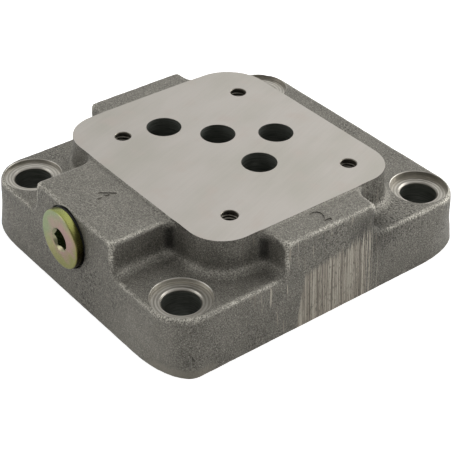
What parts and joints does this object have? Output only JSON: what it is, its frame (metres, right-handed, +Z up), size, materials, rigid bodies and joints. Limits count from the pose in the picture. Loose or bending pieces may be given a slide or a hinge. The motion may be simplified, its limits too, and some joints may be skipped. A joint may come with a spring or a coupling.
{
  "type": "hydraulic valve subplate",
  "caption": "Cast-iron subplate for a directional valve: ground pad with oil ports and tapped holes, counterbored ears, pipe ports underneath, and a screw plug with its seal in front.",
  "frame": {"origin": "the middle of the flat underside", "axes": "+Z up, out of the valve face; +X to the right along the front face, which holds the screw plug; +Y to the back"},
  "size_m": [0.1024, 0.1162, 0.0307],
  "materials": {
    "cast_iron": "sand-cast iron, shot-blasted and oiled, with a ground top, turned counterbores and worn edges",
    "yellow_zinc": "turned steel, zinc plated and yellow chromated, with a faint play of pink and green",
    "black_rubber": "moulded black seal rubber, matt"
  },
  "bodies": {
    "root": {"subplate_body": "cast_iron", "screw_plug": "yellow_zinc", "plug_seal_ring": "black_rubber"}
  },
  "joints": []
}
